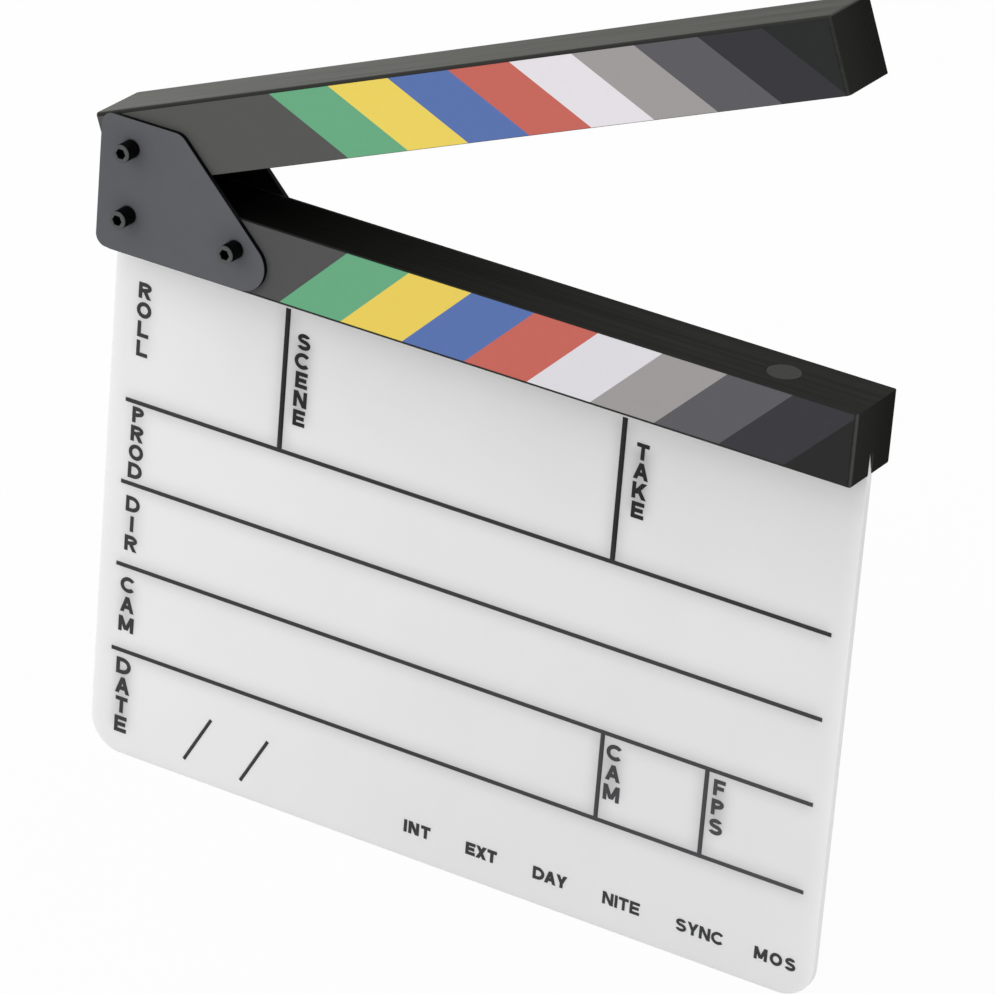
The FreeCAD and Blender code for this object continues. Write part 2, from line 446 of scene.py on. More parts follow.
def dress(finish: Finish, *nodes: str) -> None:
    """Gives CAD nodes one finish.

    Args:
        finish: How they look.
        nodes: The nodes' names.
    """
    material = finish.material()
    for node in nodes:
        slots = frame["nodes"][node].data.materials
        slots.clear()
        slots.append(material)
        LOG.info("%s is dressed in %s", node, material.name)


@dataclass(frozen=True)
class Patch:
    """A rectangle of print on the board, which keeps light out of the sheet beside it; that shade is painted
    into the sheet's colour.
    """

    middle: Point
    half: Point
    density: float = 1.0


@dataclass(frozen=True)
class FrostedAcrylic(Finish):
    """White acrylic sheet with a fine frost, a little see-through."""

    low: Vector
    high: Vector
    prints: tuple[Patch, ...]
    stick_foot: float
    # Painted shade beside the print
    shade_share: float = 0.16
    shade_reach: float = 14 * MM
    shade_ease: float = 5 * MM
    shade_power: float = 5.0
    shade_lost: float = 0.5
    # Painted shade on the sheet below the lower stick
    under_stick_shade_share: float = 0.05
    under_stick_shade_reach: Span = (75 * MM, 15 * MM)
    under_stick_shade_fade: Span = (0.0, 12 * MM)
    under_stick_shade_side: Span = (20 * MM, 70 * MM)
    pale: Colour = tint(233, 233, 233)
    dim: Colour = tint(225, 225, 225)
    # Painted light: the colour the sheet is lightened towards near its left side and its rims
    lit: Colour = tint(245, 245, 245)
    lit_reach: float = 230 * MM
    lit_share: float = 0.33
    rim_reach: float = 6 * MM
    rim_share: float = 0.25
    cloud: float = 45 * MM
    cloud_share: float = 0.7
    frost: float = 0.22 * MM
    frost_depth: float = 0.004 * MM
    wipe: Place = (70 * MM, 0.22 * MM, 0.7 * MM)
    wipe_span: Span = (0.45, 0.75)
    roughness: float = 0.34
    frost_roughness: float = 0.16
    wipe_roughness: float = 0.08
    scatter_share: float = 0.55
    scatter_reach: float = 2.2 * MM
    scatter_colours: Place = (1.0, 1.0, 1.0)
    gloss: float = 0.3

    def write(self, sheet: ShaderSheet) -> None:
        """Writes cloudy white, frost, wiping streaks, painted light towards the left side and the rims, and
        the two painted shades.

        Args:
            sheet: The node tree to write into.
        """
        place = sheet.place()
        x, y, z = sheet.axes(place)
        clouds = sheet.noise(place, self.cloud, Detail.SOFT)
        frost = sheet.noise(place, self.frost, Detail.SOFT)
        wipes = sheet.noise(place, self.wipe)
        from_left = x - self.low.x
        to_rim = sheet.math("MINIMUM", from_left, self.high.x - x)
        # Painted light: the sheet is coloured lighter towards its left side and near both rims
        lit_side = (1 - from_left.rise(0.0, self.lit_reach)) * self.lit_share
        lit_rim = (1 - to_rim.rise(0.0, self.rim_reach)) * self.rim_share
        plain = sheet.mixed(clouds.blend(frost, self.cloud_share), self.dim, self.pale)
        lit = sheet.mixed(lit_side + lit_rim, plain, self.lit)
        wiped = wipes.rise(*self.wipe_span) * self.wipe_roughness
        # Painted shade beside the print, which weakens towards the back of the sheet
        shade: Operand = 0.0
        for patch in self.prints:
            inner = [max(half - self.shade_ease, 0.0) for half in patch.half]
            near = [abs(line - middle).rise(half + self.shade_reach, half)
                    for line, middle, half in zip((x, z), patch.middle, inner)]
            shade = shade + (near[0] * near[1]) ** self.shade_power * patch.density
        shade = shade * (1 - y.rise(self.low.y, self.high.y) * self.shade_lost)
        # Painted shade on the sheet below the lower stick
        below = self.stick_foot - z
        under = below.rise(*self.under_stick_shade_reach) * below.rise(*self.under_stick_shade_fade)
        under = under * from_left.rise(*self.under_stick_shade_side)
        sheet.surface({
            "Base Color": sheet.mixed(shade * self.shade_share + under * self.under_stick_shade_share, lit, BLACK),
            "Roughness": self.roughness + frost * self.frost_roughness + wiped,
            "Normal": sheet.bumped(frost, self.frost_depth),
            "Subsurface Weight": self.scatter_share,
            "Subsurface Radius": self.scatter_colours,
            "Subsurface Scale": self.scatter_reach,
            "Specular IOR Level": self.gloss,
        })


@dataclass(frozen=True)
class StickFrame:
    """Where a stick lies when the sticks are closed, and how to get there from where it rests."""

    low: Vector
    high: Vector
    clap_z: float
    turn: Matrix
    shift: Vector

    def closed(self, sheet: ShaderSheet) -> Node:
        """The place of a point when the sticks are closed."""
        return sheet.moved(sheet.place(), self.turn, self.shift)


@dataclass(frozen=True)
class PaintedWood(Finish):
    """Straight-grained hardwood, painted black and lacquered outside, with painted light on the lacquered face
    and the end edges and painted shade on the ends and the clap face.
    """

    stick: StickFrame
    crest_highlight_width: float
    dark: Colour = tint(48, 48, 46)
    light: Colour = tint(56, 56, 53)
    # Painted shade: the near black the clap face takes by the hinge
    black: Colour = tint(2, 2, 2)
    # Lacquer tone on the outer face, lighter than the paint: the lacquer's own olive tone and painted light
    lacquer_and_painted_light: Colour = tint(58, 59, 50)
    end: Colour = tint(40, 40, 38)
    # Painted shade: the colour each end face darkens to towards the back
    end_back_shade: Colour = tint(27, 27, 26)
    edge: Colour = tint(48, 49, 48)
    # Painted highlight along the rounded upright edges at the stick's ends
    crest_highlight: Colour = tint(74, 75, 77)
    grain: Place = (90 * MM, 1.5 * MM, 1.5 * MM)
    grain_share: float = 0.6
    grain_depth: float = 0.03 * MM
    fibre: Place = (14 * MM, 0.35 * MM, 0.35 * MM)
    figure_span: Span = (0.36, 0.66)
    ring_width: float = 2.4 * MM
    ring_share: float = 0.1
    end_fibre_share: float = 0.25
    end_skin: Span = (0.05 * MM, 0.4 * MM)
    clap_skin: Span = (0.05 * MM, 0.5 * MM)
    side_skin: Span = (0.2 * MM, 1.2 * MM)
    clap_shade_span: Span = (15 * MM, 240 * MM)
    clap_shade_share: float = 0.87
    lacquer_and_light_share: float = 0.8
    edge_round: float = 1.2 * MM
    edge_shares: Span = (0.6, 0.92)
    edge_strength: float = 0.85
    crest_highlight_strength: float = 0.6
    crest_highlight_fibre: float = 0.5
    coat: float = 0.59
    coat_span: Span = (0.3, 0.7)
    coat_figure: float = 0.2
    coat_fade: float = 0.97
    coat_roughness: float = 0.42
    roughness: float = 0.55
    fibre_roughness: float = 0.2
    end_roughness: float = 0.15
    gloss: float = 0.0

    def write(self, sheet: ShaderSheet) -> None:
        """Writes grain along the stick, rings on its ends, eased edges, lacquer with painted light, painted
        highlights on the end edges, painted shade on the ends and a clap face in painted shade.

        Args:
            sheet: The node tree to write into.
        """
        stick = self.stick
        place = stick.closed(sheet)
        x, y, z = sheet.axes(place)
        middle = (stick.low + stick.high) / 2
        half = (stick.high - stick.low) / 2
        to_end = half.x - abs(x - middle.x)
        to_side = half.y - abs(y - middle.y)
        to_top = half.z - abs(z - middle.z)
        along = x - stick.low.x
        on_end = 1 - to_end.rise(*self.end_skin)
        off_clap = abs(z - stick.clap_z).rise(*self.clap_skin)
        lacquered = off_clap * to_side.rise(*self.side_skin)
        # Painted shade on the clap face, near black by the hinge and fading towards the open end
        clap_painted_shade = (1 - off_clap) * (1 - along.rise(*self.clap_shade_span) * self.clap_shade_share)
        near_edge = 1 - (to_side + to_top).rise(*(self.edge_round * share for share in self.edge_shares))
        # Painted highlight along the rounded upright edges at the ends, broken by the fibre
        crest_depth = self.edge_round * (2 - math.sqrt(2))
        on_crest_highlight = 1 - (to_side + to_end).rise(crest_depth, crest_depth + self.crest_highlight_width)
        grain = sheet.noise(place, self.grain, Detail.FULL)
        fibre = sheet.noise(place, self.fibre, Detail.SOFT)
        heart = (y - stick.high.y).diagonal(z - stick.low.z) + grain * self.ring_width
        rings = (sheet.math("SINE", heart * (2 * math.pi / self.ring_width), 0.0) + 1) / 2
        figure = grain.blend(fibre, self.grain_share)
        grained = sheet.mixed(figure.rise(*self.figure_span), self.dark, self.light)
        # Grained paint with the clap face's painted shade
        rubbed = sheet.mixed(clap_painted_shade, grained, self.black)
        # The outer face takes the lacquer tone with its painted light
        sides = sheet.mixed(lacquered * self.lacquer_and_light_share, rubbed, self.lacquer_and_painted_light)
        # Painted shade: each end face darkens from front to back
        painted = sheet.mixed((y - stick.low.y).rise(0.0, 2 * half.y), self.end, self.end_back_shade)
        ends = sheet.mixed(rings * self.ring_share + fibre * self.end_fibre_share, painted, self.dark)
        shown = sheet.mixed(near_edge * self.edge_strength, sheet.mixed(on_end, sides, ends), self.edge)
        crest_highlight_mask = on_crest_highlight * (self.crest_highlight_strength + fibre * self.crest_highlight_fibre)
        relief = figure * (1 - on_end) + rings * on_end * self.ring_share
        coat = self.coat + figure.rise(*self.coat_span) * self.coat_figure - along * self.coat_fade
        sheet.surface({
            "Base Color": sheet.mixed(crest_highlight_mask, shown, self.crest_highlight),
            "Roughness": self.roughness + fibre * self.fibre_roughness + on_end * self.end_roughness,
            "Normal": sheet.bumped(relief, self.grain_depth),
            "Coat Weight": lacquered * (1 - on_end) * (1 - near_edge) * coat,
            "Coat Roughness": self.coat_roughness,
            "Specular IOR Level": self.gloss,
        })


class Lean(Enum):
    """Which way the bars of a strip lean, at 45 degrees, as they rise."""

    RIGHT = 1
    LEFT = -1


@dataclass(frozen=True)
class StripeVinyl(Finish):
    """Printed vinyl: a plain field at the hinge, then slanted colour bars and grey steps."""

    stick: StickFrame
    lean: Lean
    first_bar: float
    bar_pitch: float = 24.9 * MM
    bar_bleed: float = 0.05 * MM
    dots: float = 0.3 * MM
    dot_share: float = 0.16
    peel: float = 2.5 * MM
    peel_share: float = 0.06
    peel_depth: float = 0.012 * MM
    peel_bump_share: float = 0.8
    roughness: float = 0.46
    peel_roughness: float = 0.14
    dot_roughness: float = 0.06
    gloss: float = 0.06
    field: Colour = tint(87, 87, 85)
    green: Colour = tint(105, 171, 131)
    yellow: Colour = tint(236, 211, 97)
    blue: Colour = tint(91, 116, 175)
    red: Colour = tint(199, 104, 93)
    white: Colour = tint(229, 225, 230)
    pale_grey: Colour = tint(159, 156, 155)
    mid_grey: Colour = tint(94, 93, 97)
    dark_grey: Colour = tint(57, 56, 60)
    black: Colour = tint(43, 45, 44)

    def write(self, sheet: ShaderSheet) -> None:
        """Writes the bars as steps across the slant, with print grain and a little orange peel.

        Args:
            sheet: The node tree to write into.
        """
        place = self.stick.closed(sheet)
        x, _, z = sheet.axes(place)
        across = x - (z - self.stick.clap_z) * self.lean.value - self.first_bar
        printed: Any = self.field
        for index, colour in enumerate((self.green, self.yellow, self.blue, self.red, self.white,
                                        self.pale_grey, self.mid_grey, self.dark_grey, self.black)):
            start = index * self.bar_pitch
            begun = across.rise(start - self.bar_bleed, start + self.bar_bleed)
            printed = sheet.mixed(begun, printed, colour)
        dots = sheet.noise(place, self.dots, Detail.SOFT)
        peel = sheet.noise(place, self.peel)
        thin = (dots - NOISE_MEAN) * self.dot_share + (peel - NOISE_MEAN) * self.peel_share
        sheet.surface({
            "Base Color": sheet.mixed(thin, printed, BLACK),
            "Roughness": self.roughness + peel * self.peel_roughness + dots * self.dot_roughness,
            "Normal": sheet.bumped(peel.blend(dots, self.peel_bump_share), self.peel_depth),
            "Specular IOR Level": self.gloss,
        })


@dataclass(frozen=True)
class PowderCoat(Finish):
    """Dark grey powder coat on sheet metal, with its edges and the face towards the sticks painted near black
    as shade.
    """

    face_y: float
    screws: tuple[Point, ...]
    head_radius: float
    grey: Colour = tint(98, 99, 103)
    deep: Colour = tint(89, 90, 94)
    # Painted shade on the edges and the face towards the sticks; the rings round the heads darken towards it
    # too
    edge_shade_and_ring_black: Colour = tint(9, 9, 10)
    grain: float = 0.55 * MM
    grain_depth: float = 0.02 * MM
    grain_share: float = 0.5
    cloud: float = 12 * MM
    face_skin: Span = (0.12 * MM, 0.3 * MM)
    head_ring_width: float = 0.9 * MM
    head_ring_darkening: float = 0.1
    head_ring_grain: float = 0.3
    roughness: float = 0.5
    grain_roughness: float = 0.2
    head_ring_polish: float = 0.12
    gloss: float = 0.06

    def write(self, sheet: ShaderSheet) -> None:
        """Writes a fine grain, edges in painted black shade and a darker, smoother ring round each screw head.

        Args:
            sheet: The node tree to write into.
        """
        place = sheet.place()
        x, y, z = sheet.axes(place)
        grain = sheet.noise(place, self.grain, Detail.SOFT)
        cloud = sheet.noise(place, self.cloud)
        # Painted shade: every face but the outer one is coloured near black
        painted_shade_behind = abs(y - self.face_y).rise(*self.face_skin)
        # A ring round each screw head, darker and smoother than the rest of the face
        rubbed: Operand = 0.0
        for screw_x, screw_z in self.screws:
            away = (x - screw_x).diagonal(z - screw_z)
            rubbed = rubbed + (1 - away.rise(self.head_radius, self.head_radius + self.head_ring_width))
        face = sheet.mixed(grain.blend(cloud, self.grain_share), self.deep, self.grey)
        ringed = sheet.mixed(rubbed * (self.head_ring_darkening + grain * self.head_ring_grain), face, self.edge_shade_and_ring_black)
        sheet.surface({
            "Base Color": sheet.mixed(painted_shade_behind, ringed, self.edge_shade_and_ring_black),
            "Roughness": self.roughness + grain * self.grain_roughness - rubbed * self.head_ring_polish,
            "Normal": sheet.bumped(grain, self.grain_depth),
            "Specular IOR Level": self.gloss,
        })


@dataclass(frozen=True)
class MetalTone:
    """The colours of a metal, how bare it is and how rough."""

    dark: Colour
    light: Colour
    metallic: float
    roughness: float


@dataclass(frozen=True)
class TurnedMetal(Finish):
    """Metal with fine turning marks round an axis along Y, and bright rubbed rims."""

    tone: MetalTone
    centre: Point
    rim_radius: float
    rim_width: float = 0.5 * MM
    rim_share: float = 0.3
    rim_polish: float = 0.08
    mark_width: float = 0.16 * MM
    mark_share: float = 0.25
    mark_depth: float = 0.006 * MM
    stain: float = 1.6 * MM
    stain_share: float = 0.35
    stain_roughness: float = 0.16

    def write(self, sheet: ShaderSheet) -> None:
        """Writes turning marks, stains and a rubbed rim.

        Args:
            sheet: The node tree to write into.
        """
        place = sheet.place()
        away, _, marks = sheet.turned(place, self.centre, self.mark_width)
        stain = sheet.noise(place, self.stain, Detail.FULL)
        rim = away.rise(self.rim_radius - self.rim_width, self.rim_radius)
        bright = stain * self.stain_share + marks * self.mark_share + rim * self.rim_share
        sheet.surface({
            "Base Color": sheet.mixed(bright, self.tone.dark, self.tone.light),
            "Metallic": self.tone.metallic,
            "Roughness": self.tone.roughness + stain * self.stain_roughness - rim * self.rim_polish,
            "Normal": sheet.bumped(marks, self.mark_depth),
        })


@dataclass(frozen=True)
class BlackScrew(Finish):
    """A black oxide screw whose head has been turned bare at its front."""

    centre: Point
    front_y: float
    black: Colour = tint(5, 5, 6)
    worn: Colour = tint(18, 18, 19)
    front: Colour = tint(95, 97, 97)
    front_dim: Colour = tint(74, 76, 76)
    front_skin: Span = (0.3 * MM, 0.5 * MM)
    mark_width: float = 0.16 * MM
    mark_share: float = 0.6
    mark_depth: float = 0.006 * MM
    stain: float = 1.4 * MM
    worn_span: Span = (0.45, 0.8)
    worn_strength: float = 0.3
    worn_marks: float = 0.4
    roughness: float = 0.42
    stain_roughness: float = 0.2
    gloss: float = 0.04

    def write(self, sheet: ShaderSheet) -> None:
        """Writes black sides, a grey front with turning marks, and a little rubbing.

        Args:
            sheet: The node tree to write into.
        """
        place = sheet.place()
        _, y, marks = sheet.turned(place, self.centre, self.mark_width)
        stain = sheet.noise(place, self.stain, Detail.FULL)
        on_front = 1 - (y - self.front_y).rise(*self.front_skin)
        rubbed = stain.rise(*self.worn_span) * (self.worn_strength + marks * self.worn_marks)
        sides = sheet.mixed(rubbed, self.black, self.worn)
        bare = sheet.mixed(marks.blend(stain, self.mark_share), self.front_dim, self.front)
        sheet.surface({
            "Base Color": sheet.mixed(on_front, sides, bare),
            "Roughness": self.roughness + stain * self.stain_roughness,
            "Normal": sheet.bumped(marks, self.mark_depth),
            "Specular IOR Level": self.gloss,
        })


@dataclass(frozen=True)
class PlainPolymer(Finish):
    """Moulded nylon, slightly cloudy."""

    pale: Colour
    dim: Colour
    cloud: float = 2.2 * MM
    grain: float = 0.25 * MM
    grain_depth: float = 0.008 * MM
    roughness: float = 0.4
    grain_roughness: float = 0.2

    def write(self, sheet: ShaderSheet) -> None:
        """Writes a cloudy colour with a fine moulded grain.

        Args:
            sheet: The node tree to write into.
        """
        place = sheet.place()
        cloud = sheet.noise(place, self.cloud)
        grain = sheet.noise(place, self.grain, Detail.SOFT)
        sheet.surface({
            "Base Color": sheet.mixed(cloud, self.dim, self.pale),
            "Roughness": self.roughness + grain * self.grain_roughness,
            "Normal": sheet.bumped(grain, self.grain_depth),
        })


@dataclass(frozen=True)
class PrintInk(Finish):
    """Screen-printed ink, dense but not quite even, and rubbed thin towards the lower right if it fades."""

    fade: float = 0.0
    fade_x: Span = (-60 * MM, 150 * MM)
    fade_z: Span = (40 * MM, 140 * MM)
    dense: Colour = tint(38, 38, 40)
    thin: Colour = tint(56, 56, 58)
    faded: Colour = tint(68, 68, 70)
    loaded: Colour = tint(18, 18, 20)
    loaded_x: Span = (-120 * MM, -90 * MM)
    loaded_z: Span = (130 * MM, 152 * MM)
    blotch: float = 2.4 * MM
    blotch_share: float = 0.6
    mesh: float = 0.16 * MM
    mesh_depth: float = 0.004 * MM
    roughness: float = 0.5
    mesh_roughness: float = 0.2
    gloss: float = 0.3

    def write(self, sheet: ShaderSheet) -> None:
        """Writes uneven ink with the fine mesh of the screen, denser towards the upper right.

        Args:
            sheet: The node tree to write into.
        """
        place = sheet.place()
        x, _, z = sheet.axes(place)
        blotch = sheet.noise(place, self.blotch)
        mesh = sheet.noise(place, self.mesh, Detail.PLAIN)
        uneven = sheet.mixed(blotch.blend(mesh, self.blotch_share), self.dense, self.thin)
        rubbed = x.rise(*self.fade_x) * (1 - z.rise(*self.fade_z)) * self.fade
        full = x.rise(*self.loaded_x) * z.rise(*self.loaded_z)
        ink = sheet.mixed(full, uneven, self.loaded)
        sheet.surface({
            "Base Color": sheet.mixed(rubbed, ink, self.faded),
            "Roughness": self.roughness + mesh * self.mesh_roughness,
            "Normal": sheet.bumped(mesh, self.mesh_depth),
            "Specular IOR Level": self.gloss,
        })


@dataclass(frozen=True)
class FloorWhite(Finish):
    """Matt white that glows towards the camera, so that it keeps only a faint shadow."""

    colour: Colour = (0.9, 0.9, 0.9, 1.0)
    white_share: float = 0.93

    def write(self, sheet: ShaderSheet) -> None:
        """Writes matt white, and glowing white over most of it wherever the floor is looked at.

        Args:
            sheet: The node tree to write into.
        """
        matt = sheet.node("ShaderNodeBsdfDiffuse", None, {"Color": self.colour})
        glow = sheet.node("ShaderNodeEmission", None, {"Color": WHITE, "Strength": 1.0})
        both = sheet.node("ShaderNodeMixShader", None, {0: sheet.seen() * self.white_share, 1: matt, 2: glow})
        sheet.node("ShaderNodeOutputMaterial", None, {"Surface": both})


class Form(Enum):
    """The kinds of stroke that make up a capital."""

    STEM = "upright"
    RAIL = "level"
    SLANT = "sloping, with level ends"
    BOW = "part of an oval ring"


STEM, RAIL, SLANT, BOW = Form


@dataclass(frozen=True)
class Capital:
    """A capital letter: its width as a share of its height, and its strokes in shares of its box."""

    width_share: float
    stroke_shares: tuple[tuple[Any, ...], ...]


# A stem is (place, foot, head), a rail (place, start, end), a slant (foot x, z, head x, z) and a
# bow (centre x, z, reach x, z, start and end in degrees)
CAPITALS: dict[str, Capital] = {
    "A": Capital(0.96, ((SLANT, 0, 0, 0.5, 1), (SLANT, 1, 0, 0.5, 1), (RAIL, 0.28, 0.2, 0.8))),
    "C": Capital(1.08, ((BOW, 0.5, 0.5, 0.5, 0.5, 40, 320),)),
    "D": Capital(0.97, ((STEM, 0, 0, 1), (RAIL, 0, 0, 0.42), (RAIL, 1, 0, 0.42),
                        (BOW, 0.42, 0.5, 0.58, 0.5, -90, 90))),
    "E": Capital(0.81, ((STEM, 0, 0, 1), (RAIL, 0, 0, 1), (RAIL, 0.5, 0, 0.92), (RAIL, 1, 0, 1))),
    "F": Capital(0.75, ((STEM, 0, 0, 1), (RAIL, 0.47, 0, 0.9), (RAIL, 1, 0, 1))),
    "I": Capital(0.22, ((STEM, 0.5, 0, 1),)),
    "K": Capital(0.93, ((STEM, 0, 0, 1), (SLANT, 0.06, 0.3, 1, 1), (SLANT, 1, 0, 0.36, 0.62))),
    "L": Capital(0.77, ((STEM, 0, 0, 1), (RAIL, 0, 0, 1))),
    "M": Capital(1.06, ((STEM, 0, 0, 1), (STEM, 1, 0, 1), (SLANT, 0.5, 0.12, 0, 1),
                        (SLANT, 0.5, 0.12, 1, 1))),
    "N": Capital(0.9, ((STEM, 0, 0, 1), (STEM, 1, 0, 1), (SLANT, 1, 0, 0, 1))),
    "O": Capital(1.0, ((BOW, 0.5, 0.5, 0.5, 0.5, 0, 180), (BOW, 0.5, 0.5, 0.5, 0.5, 180, 360))),
    "P": Capital(0.79, ((STEM, 0, 0, 1), (RAIL, 0.5, 0, 0.5), (RAIL, 1, 0, 0.5),
                        (BOW, 0.5, 0.705, 0.5, 0.295, -90, 90))),
    "R": Capital(0.87, ((STEM, 0, 0, 1), (RAIL, 0.5, 0, 0.5), (RAIL, 1, 0, 0.5),
                        (BOW, 0.5, 0.705, 0.5, 0.295, -90, 90), (SLANT, 1, 0, 0.45, 0.5))),
    "S": Capital(0.88, ((BOW, 0.5, 0.705, 0.47, 0.295, 22, 270), (BOW, 0.5, 0.318, 0.5, 0.318, -158, 90))),
    "T": Capital(0.8, ((STEM, 0.5, 0, 1), (RAIL, 1, 0, 1))),
    "X": Capital(0.9, ((SLANT, 0, 0, 1, 1), (SLANT, 1, 0, 0, 1))),
    "Y": Capital(0.9, ((STEM, 0.5, 0, 0.45), (SLANT, 0.5, 0.38, 0, 1), (SLANT, 0.5, 0.38, 1, 1))),
}


@dataclass(frozen=True)
class Pen:
    """Draws capitals of one height and weight as flat ribbons."""

    height: float
    weight_share: float
    turn_steps: int = 48

    def width(self, letter: str) -> float:
        """How wide a letter is."""
        return CAPITALS[letter].width_share * self.height

    def draw(self, letter: str, left: float, bottom: float) -> list[Ribbon]:
        """Draws one letter.

        Args:
            letter: The capital.
            left: Where its left side lies.
            bottom: Where its foot lies.

        Returns:
            Its strokes, each as two rows of points.
        """
        width = self.width(letter)
        ribbons = []
        for form, *shares in CAPITALS[letter].stroke_shares:
            rows = self._stroke(form, shares, width)
            ribbons.append(tuple([(left + x, bottom + z) for x, z in row] for row in rows))
        return ribbons

    def _stroke(self, form: Form, shares: Sequence[float], width: float) -> Ribbon:
        """Draws one stroke in the letter's own box.

        Args:
            form: The kind of stroke.
            shares: Where it lies, in shares of the box.
            width: The letter's width.

        Returns:
            The two sides of the stroke.
        """
        tall, weight = self.height, self.weight_share * self.height
        if form is STEM:
            place, foot, head = shares
            side = place * (width - weight)
            return tuple([(x, foot * tall), (x, head * tall)] for x in (side, side + weight))
        if form is RAIL:
            place, start, end = shares
            under = place * (tall - weight)
            return tuple([(start * width, z), (end * width, z)] for z in (under + weight, under))
        if form is SLANT:
            foot_x, foot_z, head_x, head_z = shares
            rise = (head_z - foot_z) * tall
            run = (head_x - foot_x) * (width - weight)
            level = weight * math.hypot(rise, run) / rise
            ends = [(x * (width - level), z * tall) for x, z in ((foot_x, foot_z), (head_x, head_z))]
            return ends, [(x + level, z) for x, z in ends]
        middle_x, middle_z, reach_x, reach_z, *turn = shares
        start, end = (math.radians(angle) for angle in turn)
        steps = max(2, round(self.turn_steps * abs(end - start) / (2 * math.pi)))
        angles = [end + (start - end) * step / steps for step in range(steps + 1)]
        return tuple([(middle_x * width + (reach_x * width - inset) * math.cos(angle),
                       middle_z * tall + (reach_z * tall - inset) * math.sin(angle)) for angle in angles]
                     for inset in (0.0, weight))


@dataclass(frozen=True)
class StackedWord:
    """A field's name, set with its letters one under the other."""

    text: str
    middle: float
    first: float
    last: float
    density: float = 1.0
    height: float = 6.15 * MM
    weight_share: float = 0.246

    def letters(self) -> list[list[Ribbon]]:
        """Draws the word, each letter centred on the column.

        Returns:
            The strokes of each letter.
        """
        pen = Pen(self.height, self.weight_share)
        pitch = (self.last - self.first) / (len(self.text) - 1)
        drawn = []
        for index, letter in enumerate(self.text):
            left = self.middle - pen.width(letter) / 2
            drawn.append(pen.draw(letter, left, self.first + pitch * index - self.height / 2))
        return drawn

    def patch(self) -> Patch:
        """Boxes the word.

        Returns:
            The rectangle that the letters fill.
        """
        widest = max(map(Pen(self.height, self.weight_share).width, self.text))
        half = (widest / 2, (self.first - self.last + self.height) / 2)
        return Patch((self.middle, (self.first + self.last) / 2), half, self.density)


@dataclass(frozen=True)
class LevelWord:
    """A word to be ringed, set level between two places."""

    text: str
    left: float
    right: float
    weight_share: float = 0.235
    middle: float = 12.2 * MM
    height: float = 4.9 * MM

    def letters(self) -> list[list[Ribbon]]:
        """Draws the word, with its letters spaced to fill its width.

        Returns:
            The strokes of each letter.
        """
        pen = Pen(self.height, self.weight_share)
        spare = self.right - self.left - sum(pen.width(letter) for letter in self.text)
        gap = spare / (len(self.text) - 1)
        drawn = []
        left = self.left
        for letter in self.text:
            drawn.append(pen.draw(letter, left, self.middle - self.height / 2))
            left += pen.width(letter) + gap
        return drawn


# The column of the field names at the left side of the board
LEFT_COLUMN = -137.3 * MM


